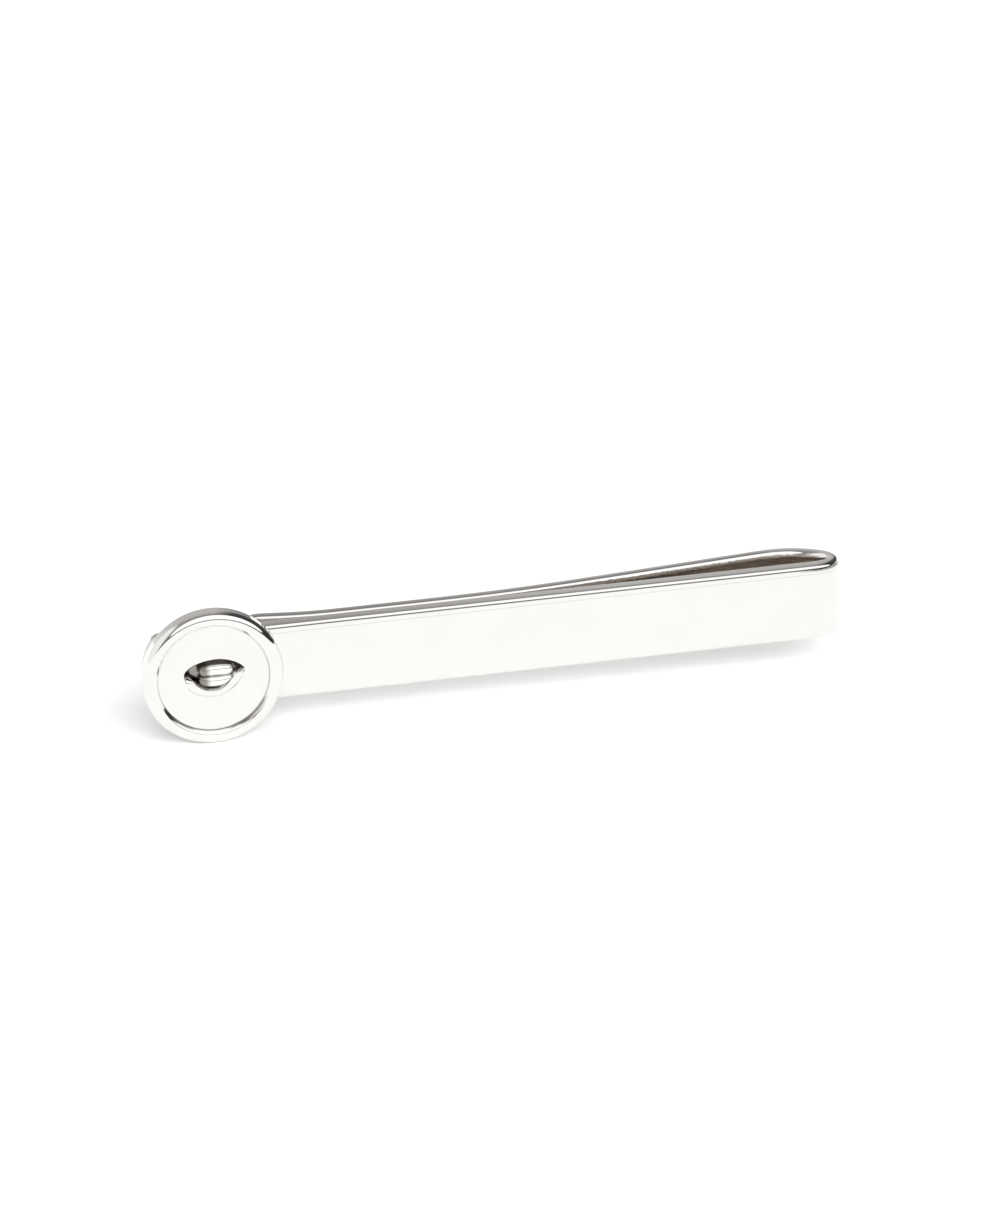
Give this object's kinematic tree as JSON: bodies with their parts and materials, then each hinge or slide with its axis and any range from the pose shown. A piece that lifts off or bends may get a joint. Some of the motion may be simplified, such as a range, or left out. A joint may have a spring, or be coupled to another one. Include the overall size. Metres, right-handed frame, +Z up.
{
  "type": "tie bar",
  "caption": "Slide-on tie bar: a polished folded spring strip with a shirt-button ornament at the end of its front leg.",
  "frame": {"origin": "the front leg's inner face, the one that rests on the tie, half way along the bar and half way up the strip", "axes": "+X along the bar towards the fold, +Y from the worn face to the back, +Z up across the strip as worn"},
  "size_m": [0.0587, 0.0065, 0.0116],
  "materials": {
    "bright_plate": "bright rhodium or silver-coloured plate over polished metal",
    "strand_plate": "the same plate, a little softer, in the eye that polishing doesn't reach",
    "solder": "plated solder, satin"
  },
  "bodies": {
    "front": {"front_leg": "bright_plate", "hairpin_fold": "bright_plate", "button_body": "bright_plate", "thread_strand_upper": "strand_plate", "thread_strand_lower": "strand_plate", "solder_pad": "solder"},
    "back": {"back_leg": "bright_plate"}
  },
  "joints": [
    {"name": "leg_flex", "type": "hinge", "parent": "front", "child": "back", "pos_m": [0.02665, 0.001, 0], "axis": [0, 0, -1], "range_deg": [0, 6.5], "stiffness_Nm_per_rad": 1.8, "springref_deg": -1.15, "deforming": ["hairpin_fold"]}
  ]
}
